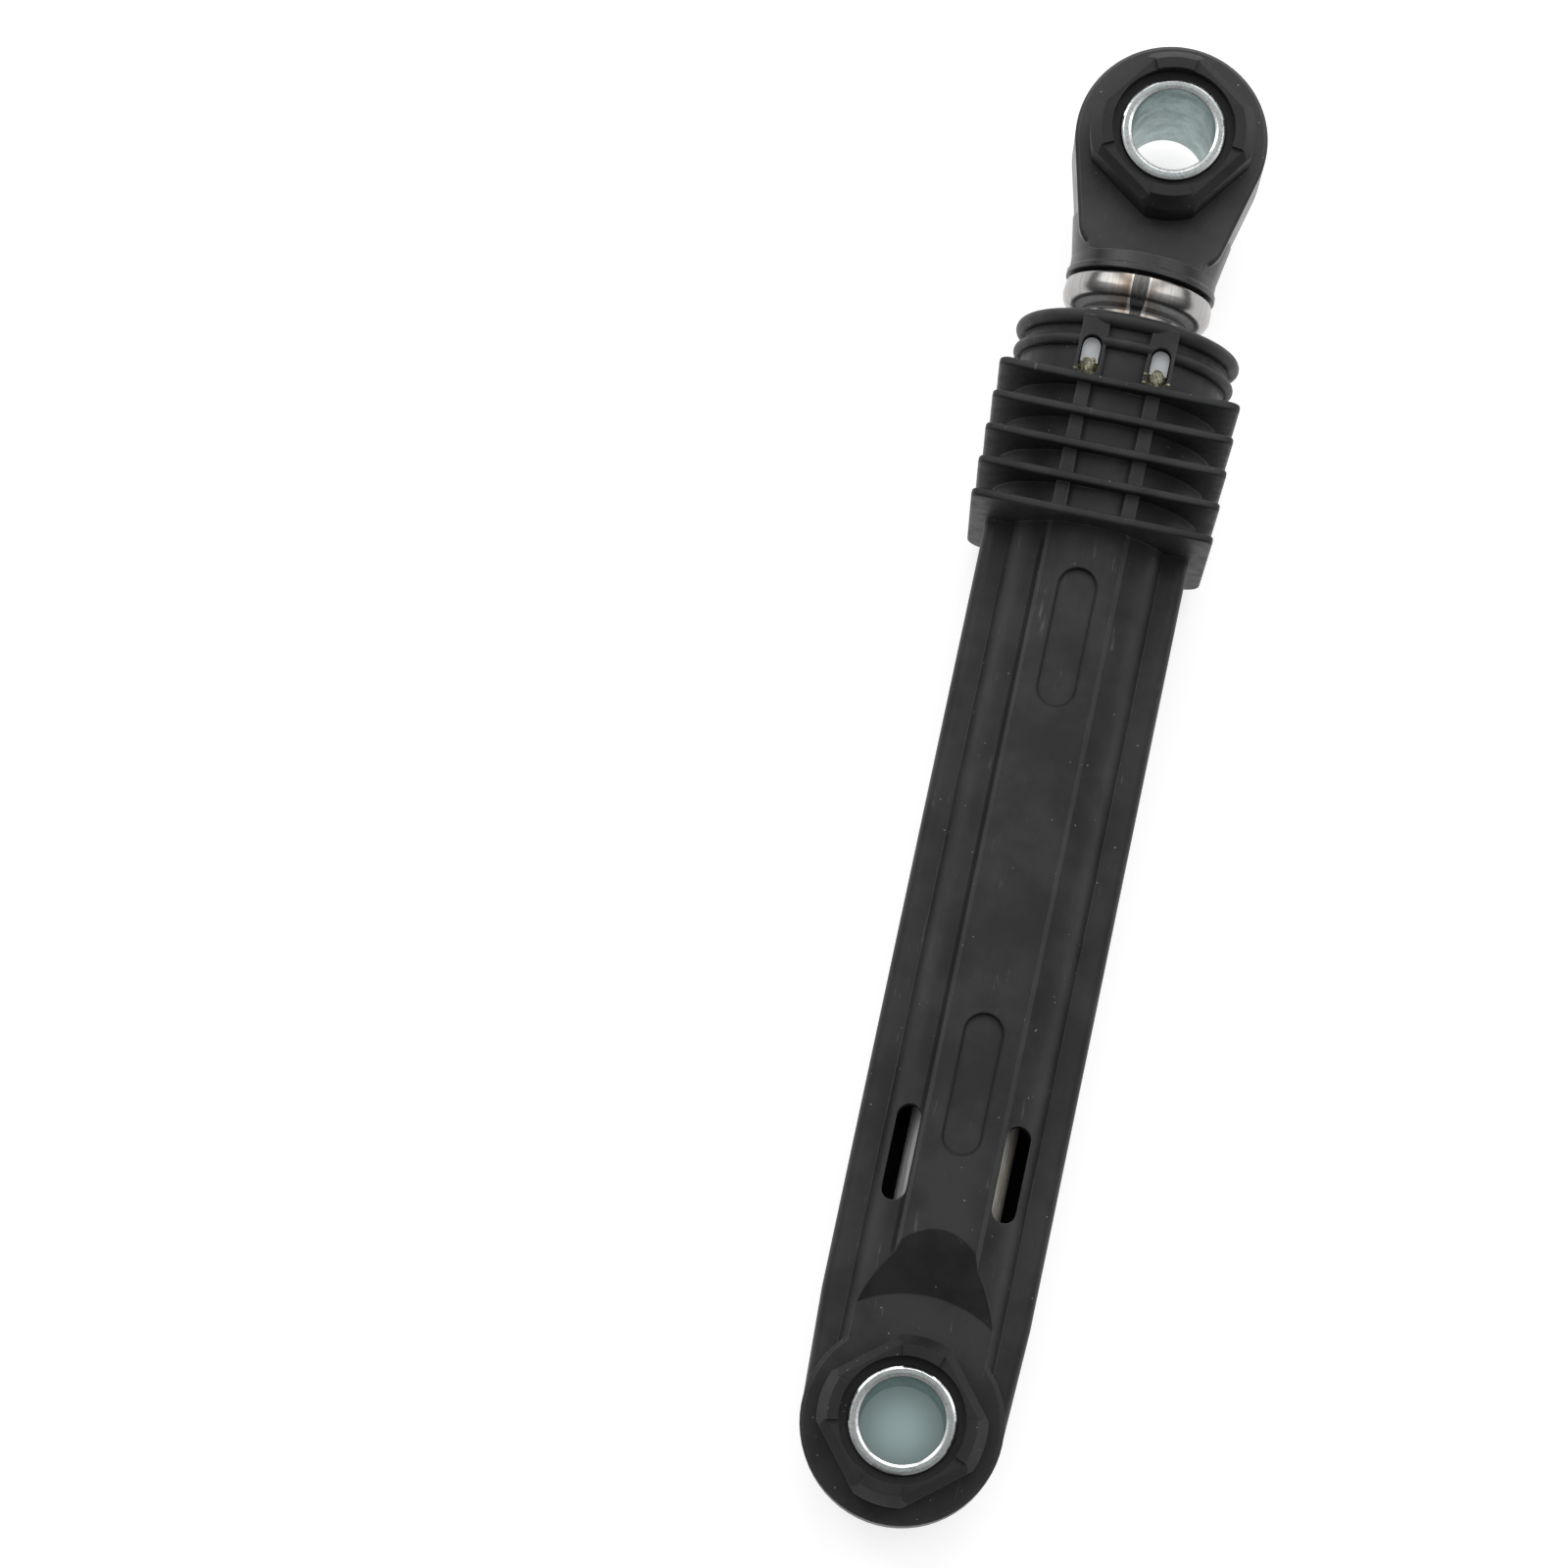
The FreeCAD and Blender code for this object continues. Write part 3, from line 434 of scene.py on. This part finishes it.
class DAMPER_OT_housing(bpy.types.Operator):
    """Finishes the housing and what is snapped into it"""

    bl_idname = "damper.housing"
    bl_label = "Housing"

    def execute(self, context):
        look, sizes = finishes(context), context.scene.damper_sizes

        def draw_lines(recipe, spot):
            """Painted shade: a dark line round each panel and along the left foot of the spine, on the front,
            where shade falls at the panels' steps and the spine's step.
            """
            across, along = recipe.axis(spot, "X"), recipe.axis(spot, "Y")
            ahead = recipe.steps(recipe.axis(spot, "Z"), 8 * MM, 8.5 * MM)
            foot = recipe.maths("ABSOLUTE", recipe.maths("ADD", across, sizes.spine_foot))
            tube_middle = 73 * MM
            from_middle = recipe.maths("ABSOLUTE", recipe.maths("SUBTRACT", along, tube_middle))
            on_tube = recipe.steps(from_middle, 52 * MM, 50 * MM)
            lines = recipe.times(recipe.steps(foot, 0.42 * MM, 0.2 * MM), on_tube)
            straight = (sizes.panel_length - sizes.panel_width) / 2
            for place in (sizes.lower_panel, sizes.upper_panel):
                from_place = recipe.maths("ABSOLUTE", recipe.maths("SUBTRACT", along, place))
                beyond = recipe.maths("MAXIMUM", recipe.maths("SUBTRACT", from_place, straight), 0.0)
                reach = recipe.add("CombineXYZ", {"X": across, "Y": beyond})
                radius = recipe.span(reach)
                gap = recipe.maths("ABSOLUTE", recipe.maths("SUBTRACT", radius, sizes.panel_width / 2))
                lines = recipe.maths("MAXIMUM", lines, recipe.steps(gap, 0.26 * MM, 0.1 * MM))
            return recipe.times(lines, ahead)

        plastic = moulded_plastic("housing_plastic", look, grain=0.22 * MM, gloss=0.42, shine=0.22,
                                  draw_lines=draw_lines)
        dress_node("housing", plastic)
        dress_node("guide_insert", white_acetal(tuple(look.acetal)))
        dress_node("friction_foam", greased_foam(tuple(look.grease)))
        return {"FINISHED"}


class DAMPER_OT_rod(bpy.types.Operator):
    """Finishes the rod and its moulded eye"""

    bl_idname = "damper.rod"
    bl_label = "Rod"

    def execute(self, context):
        look = finishes(context)
        steel = drawn_steel(look)
        dress_node("rod_tube", steel)
        plastic = moulded_plastic("eye_plastic", look, grain=0.16 * MM, gloss=0.27, shine=0.42,
                                  draw_lines=self.gate_mark)
        dress_node("rod_eye", plastic)
        shape = self.rolled_tube(context.scene.damper_sizes)
        weld = planed_weld(tuple(look.steel))
        new_piece("rolled_rod", shape, [steel, weld], "rod", "rod_tube")
        return {"FINISHED"}

    def gate_mark(self, recipe, spot):
        """Faint ring where the plastic ran in, on the flat face below the bush."""
        gate, ring = (0.1 * MM, 172.8 * MM, 6.5 * MM), 0.5 * MM
        offset = recipe.add("VectorMath", {0: spot, 1: gate}, operation="SUBTRACT")
        gap = recipe.maths("ABSOLUTE", recipe.maths("SUBTRACT", recipe.span(offset), ring))
        return recipe.steps(gap, 0.3 * MM, 0.1 * MM, 0.0, 0.45)

    def rolled_tube(self, sizes):
        """Steel tube with a cup rolled on its head and a planed weld along its front."""
        low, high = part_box("rod_tube")
        foot, mouth, rim = low.y, high.y, high.x
        base = mouth - sizes.bead_height
        widest = base + 0.62 * sizes.bead_height
        inside, cup = sizes.rod_radius - sizes.rod_wall, rim - 1.3 * sizes.rod_wall
        corners = [
            (inside, foot, 0.2 * MM),
            (sizes.rod_radius, foot, 0.3 * MM),
            (sizes.rod_radius, base, 0.42 * MM),
            (rim, base, sizes.bead_round),
            (rim, widest, 0.35 * MM),
            (rim - sizes.bead_lean, mouth, sizes.bead_shoulder),
            (cup, mouth, 0.15 * MM),
            (cup, base + sizes.rod_wall, 0),
            (inside, base + sizes.rod_wall, 0),
        ]
        half = math.asin(sizes.weld_width / 2 / rim)
        shape = bmesh.new()
        add_outline(shape, corners, Matrix.Rotation(-math.pi / 2 - half, 4, "Y"))
        round_rod = {"axis": (0, 1, 0), "cent": (0, 0, 0)}
        start = shape.verts[:] + shape.edges[:]
        weld = bmesh.ops.spin(shape, geom=start, angle=2 * half, steps=1, **round_rod)
        bmesh.ops.spin(shape, geom=weld["geom_last"], angle=2 * math.pi - 2 * half, steps=118, **round_rod)
        close_shell(shape)
        weld_middle = 0.2 * MM
        for face in shape.faces:
            middle = face.calc_center_median()
            face.material_index = int(middle.z > 0 and abs(middle.x) < weld_middle)
        for edge in shape.edges:
            if len({face.material_index for face in edge.link_faces}) > 1:
                edge.smooth = False
        return shape


class DAMPER_OT_bushes(bpy.types.Operator):
    """Finishes the rubber bushes and the steel sleeves"""

    bl_idname = "damper.bushes"
    bl_label = "Bushes and sleeves"

    def execute(self, context):
        look = finishes(context)
        rubber = bush_rubber(tuple(look.rubber), tuple(look.dust))
        zinc = zinc_plate("zinc_plate", tuple(look.zinc), dull=0.26)
        bore = zinc_plate("bore_plate", tuple(look.bore), dull=0.38)
        # Painted highlight: the broken edges get a much brighter copy of the zinc plate.
        edge = zinc_plate("edge_highlight_plate", tuple(look.highlight_zinc), dull=0.14)
        for end, body in (("lower", "housing"), ("upper", "rod")):
            dress_node(end + "_rubber_bush", rubber)
            dress_node(end + "_steel_sleeve", zinc)
            shape = self.turned_sleeve(end, context.scene.damper_sizes)
            new_piece(end + "_turned_sleeve", shape, [zinc, bore, edge], body,
                      end + "_steel_sleeve")
        return {"FINISHED"}

    def turned_sleeve(self, end, sizes):
        """Steel sleeve with broken edges at both ends: its end faces, bore and edges have a plate each; the
        edges' plate is a much brighter copy of the zinc, a painted highlight.
        """
        low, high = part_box(end + "_steel_sleeve")
        middle = (low + high) / 2
        mount = next(item for item in frame["record"]["mounts"] if item["name"] == end + "_pin_bore")
        bore, edge = mount["dims"]["r_mm"] * MM, sizes.sleeve_edge
        outside, reach = (high.x - low.x) / 2, (high.z - low.z) / 2
        drop, soft = edge * 0.45, edge * 0.2
        corners = []
        for sign, order in ((-1, 1), (1, -1)):
            side = [
                (bore, sign * (reach - drop), soft),
                (bore + edge, sign * reach, soft),
                (outside - edge, sign * reach, soft),
                (outside, sign * (reach - drop), soft),
            ]
            corners += side[::order]
        shape = bmesh.new()
        add_outline(shape, corners, Matrix.Rotation(math.pi / 2, 4, "X"))
        bmesh.ops.spin(shape, geom=shape.verts[:] + shape.edges[:], axis=(0, 0, 1), cent=(0, 0, 0),
                       angle=2 * math.pi, steps=96, use_merge=True)
        close_shell(shape)
        end_plate, bore_plate, edge_highlight_plate = range(3)
        end_turn = math.sqrt(0.9)
        for face in shape.faces:
            spot = face.calc_center_median()
            inside = math.hypot(spot.x, spot.y) < (bore + outside) / 2
            is_end = abs(face.normal.z) > end_turn
            if abs(spot.z) < reach - drop:
                face.material_index = bore_plate if inside else end_plate
            else:
                face.material_index = end_plate if is_end else edge_highlight_plate
        bmesh.ops.translate(shape, vec=middle, verts=shape.verts)
        return shape


class DAMPER_OT_grease(bpy.types.Operator):
    """Adds the grease that has crept into the windows"""

    bl_idname = "damper.grease"
    bl_label = "Grease"

    def execute(self, context):
        material = olive_grease(tuple(finishes(context).grease))
        across, along, ahead = 4.9 * MM, 148.1 * MM, 13.35 * MM
        drop = (1.42 * MM, 2.1 * MM, 1.2 * MM)
        windows = [(x, along, z) for z in (ahead, -ahead) for x in (-across, across)]
        for number, window in enumerate(windows):
            shape = self.blob(window, drop, number)
            new_piece("grease_%d" % (number + 1), shape, [material], "housing")
        new_piece("grease_crumbs", self.crumbs(context), [material], "housing")
        return {"FINISHED"}

    def crumbs(self, context):
        """Crumbs of grease that have dropped on the head, beside and below the front windows."""
        shape = bmesh.new()
        housing = frame["nodes"]["housing"]
        inward = housing.matrix_world.inverted()
        down = inward.to_3x3() @ Vector((0, 0, -1))
        surface = BVHTree.FromObject(housing, context.evaluated_depsgraph_get())
        places = (
            (3.2, 147.4), (3.2, 148.6), (6.6, 147.6), (8.2, 147.6), (8.8, 147.3), (9.5, 147.2), (-6.6, 147.5),
        )
        start, size = 40 * MM, (0.34 * MM, 0.26 * MM, 0.26 * MM)
        for number, (x, y) in enumerate(places):
            spot = surface.ray_cast(inward @ Vector((x * MM, y * MM, start)), down)[0]
            if spot is None:
                raise RuntimeError("No surface below a crumb of grease")
            crumb = self.blob(housing.matrix_world @ spot, size, number)
            mesh = bpy.data.meshes.new("crumb")
            crumb.to_mesh(mesh)
            crumb.free()
            shape.from_mesh(mesh)
            bpy.data.meshes.remove(mesh)
        return shape

    def blob(self, centre, reach, seed):
        """A lumpy drop, finer where it is large."""
        fineness = 4 if reach[1] > 1 * MM else 2
        shape = bmesh.new()
        bmesh.ops.create_icosphere(shape, subdivisions=fineness, radius=1.0)
        pattern, lumps, depth = Vector((seed * 7.3, 0, 0)), 2.2, 0.2
        for vert in shape.verts:
            lump = noise.fractal(vert.co * lumps + pattern, 0.9, 2.0, 3)
            vert.co *= 1 + depth * lump
        bmesh.ops.scale(shape, vec=reach, verts=shape.verts)
        bmesh.ops.translate(shape, vec=centre, verts=shape.verts)
        close_shell(shape, math.pi)
        return shape


def add_lamp(name, place, target, size, watts):
    """A rectangular soft lamp that points at a target."""
    data = bpy.data.lights.new(name, "AREA")
    data.shape = "RECTANGLE"
    data.size, data.size_y = size
    data.energy = watts
    lamp = bpy.data.objects.new(name, data)
    bpy.context.scene.collection.objects.link(lamp)
    aim = (Vector(target) - Vector(place)).to_track_quat("-Z", "Y")
    lamp.matrix_world = Matrix.Translation(place) @ aim.to_matrix().to_4x4()


class DAMPER_OT_stage(bpy.types.Operator):
    """Sets the floor, the lamps and the camera"""

    bl_idname = "damper.stage"
    bl_label = "Stage"

    def execute(self, context):
        stage = context.scene.damper_stage
        context.scene.view_settings.view_transform = "Standard"
        self.add_floor(stage)
        middle, wide, upright = (0, 0.1, 0), (0.9, 0.5), (0.3, 0.8)
        add_lamp("top_lamp", (0.0, 0.95, 0.75), middle, wide, stage.top_power)
        add_lamp("left_lamp", (-0.62, 0.5, 0.6), middle, upright, stage.left_power)
        add_lamp("right_lamp", (0.62, 0.5, 0.6), middle, upright, stage.right_power)
        self.set_world(stage)
        self.set_camera(stage)
        return {"FINISHED"}

    def add_floor(self, stage):
        """A broad pale floor that touches the lowest fin and the lower bush."""
        bush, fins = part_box("lower_rubber_bush")[0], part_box("housing")[0]
        lowest_fin, half_size = 126.5 * MM, 12.0
        slope = (fins.z - bush.z) / (lowest_fin - bush.y)
        shape = bmesh.new()
        bmesh.ops.create_grid(shape, x_segments=1, y_segments=1, size=half_size)
        tilt = Matrix.Translation((0, bush.y, bush.z)) @ Matrix.Rotation(math.atan(slope), 4, "X")
        bmesh.ops.transform(shape, matrix=tilt, verts=shape.verts)
        mesh = bpy.data.meshes.new("floor")
        shape.to_mesh(mesh)
        shape.free()
        floor = bpy.data.objects.new("floor", mesh)
        bpy.context.scene.collection.objects.link(floor)
        mesh.materials.append(self.floor_white(stage))

    def floor_white(self, stage):
        """White to the eye, with a painted shadow under the damper and a painted pool of teal light below the
        lower bore.
        """
        recipe = Recipe("floor_white")
        recipe.surface(Base_Color=(*stage.floor, 1.0), Roughness=0.9, Specular_IOR_Level=0.0)
        spot = recipe.place()
        along = recipe.axis(spot, "Y")
        # Painted shadow: the floor's glow fades out under the tube, the lower eye and the fins.
        fins = (127 * MM, 129 * MM)
        half_width = recipe.steps(along, *fins, 12.8 * MM, 17.3 * MM)
        softness = recipe.steps(along, *fins, 4.5 * MM, 2.0 * MM)
        below = recipe.maths("MINIMUM", along, 0.0)
        reach = recipe.span(recipe.add("CombineXYZ", {"X": recipe.axis(spot, "X"), "Y": below}))
        inside = recipe.maths("DIVIDE", recipe.maths("SUBTRACT", half_width, reach), softness)
        beside = recipe.steps(inside, 0.9, -0.1)
        open_floor = recipe.maths("MAXIMUM", beside, recipe.steps(along, 146 * MM, 152 * MM))
        flat = recipe.add("VectorMath", {0: spot, 1: (1.0, 1.0, 0.0)}, operation="MULTIPLY")
        radius = recipe.span(flat)
        # Painted pool of light: a little teal glow on the floor below the lower bore.
        near_bore = recipe.steps(radius, 13 * MM, 9 * MM)
        shade = recipe.times(recipe.steps(radius, 7 * MM, 0.5 * MM, 0.12, 0.3), near_bore)
        glow = recipe.steps(open_floor, 0.0, 1.0, shade, 0.7)
        white, zinc_light = (1.0, 1.0, 1.0), (0.68, 0.92, 0.91)
        recipe.surface(
            Emission_Color=recipe.tint(near_bore, white, zinc_light),
            Emission_Strength=recipe.times(self.seen_rays(recipe), glow),
        )
        return recipe.material

    def seen_rays(self, recipe):
        """Is 1 for what the camera, a gloss or a clear piece sees, and 0 for light on the object."""
        rays = recipe.tree.nodes.new("ShaderNodeLightPath").outputs
        seen = recipe.maths("ADD", rays["Is Camera Ray"], rays["Is Glossy Ray"])
        return recipe.maths("MINIMUM", recipe.maths("ADD", seen, rays["Is Transmission Ray"]), 1.0)

    def set_world(self, stage):
        """Light from above and from beyond the upper eye, dimmer behind the lower eye."""
        world = bpy.data.worlds.new("studio")
        world.use_nodes = True
        bpy.context.scene.world = world
        tree = world.node_tree
        background = tree.nodes["Background"]
        background.inputs["Color"].default_value = (1.0, 1.0, 1.0, 1.0)
        coords = tree.nodes.new("ShaderNodeTexCoord")
        parts = tree.nodes.new("ShaderNodeSeparateXYZ")
        tree.links.new(coords.outputs["Generated"], parts.inputs[0])
        beyond = self.fade(tree, parts.outputs["Y"], (-0.5, 0.3), (stage.world_dark, stage.world_light))
        height = self.fade(tree, parts.outputs["Z"], (0.1, 0.8), (0.15, 1.0))
        light = tree.nodes.new("ShaderNodeMath")
        light.operation = "MULTIPLY"
        tree.links.new(beyond, light.inputs[0])
        tree.links.new(height, light.inputs[1])
        tree.links.new(light.outputs[0], background.inputs["Strength"])

    def fade(self, tree, value, span, ends):
        """Eases between two levels while a value runs over a span."""
        node = tree.nodes.new("ShaderNodeMapRange")
        node.interpolation_type = "SMOOTHSTEP"
        for name, level in zip(("From Min", "From Max", "To Min", "To Max"), (*span, *ends)):
            node.inputs[name].default_value = level
        tree.links.new(value, node.inputs["Value"])
        return node.outputs[0]

    def set_camera(self, stage):
        """Looks down on the damper, with the upper eye a little further off."""
        data = bpy.data.cameras.new("camera")
        data.sensor_width = 36.0
        data.lens = stage.lens
        data.clip_end = 20.0
        camera = bpy.data.objects.new("camera", data)
        bpy.context.scene.collection.objects.link(camera)
        right = (0.97745, 0.21052, -0.01646)
        up = (-0.20478, 0.96403, 0.16947)
        back = (0.05154, -0.16227, 0.9854)
        place = (0.00191, -0.0311, 0.699)
        turn = Matrix((right, up, back)).transposed().to_4x4()
        camera.matrix_world = Matrix.Translation(place) @ turn
        bpy.context.scene.camera = camera


class VIEW3D_PT_damper(bpy.types.Panel):
    """Lists the damper's steps and what can be changed."""

    bl_label = "Damper"
    bl_idname = "VIEW3D_PT_damper"
    bl_space_type = "VIEW_3D"
    bl_region_type = "UI"
    bl_category = "Damper"

    def draw(self, context):
        for step in STEPS:
            self.layout.operator(step.bl_idname)
        for group in (context.scene.damper_finishes, context.scene.damper_sizes, context.scene.damper_stage):
            box = self.layout.box()
            for name in group.__annotations__:
                box.prop(group, name)


STEPS = (DAMPER_OT_housing, DAMPER_OT_rod, DAMPER_OT_bushes, DAMPER_OT_grease, DAMPER_OT_stage)
CLASSES = (DamperFinishes, DamperSizes, DamperStage, *STEPS, VIEW3D_PT_damper)


def register():
    for kind in CLASSES:
        bpy.utils.register_class(kind)
    bpy.types.Scene.damper_finishes = PointerProperty(type=DamperFinishes)
    bpy.types.Scene.damper_sizes = PointerProperty(type=DamperSizes)
    bpy.types.Scene.damper_stage = PointerProperty(type=DamperStage)


def unregister():
    del bpy.types.Scene.damper_stage
    del bpy.types.Scene.damper_sizes
    del bpy.types.Scene.damper_finishes
    for kind in reversed(CLASSES):
        bpy.utils.unregister_class(kind)


def main():
    register()
    bpy.ops.damper.housing()
    bpy.ops.damper.rod()
    bpy.ops.damper.bushes()
    bpy.ops.damper.grease()
    bpy.ops.damper.stage()


if __name__ == "__main__":
    main()
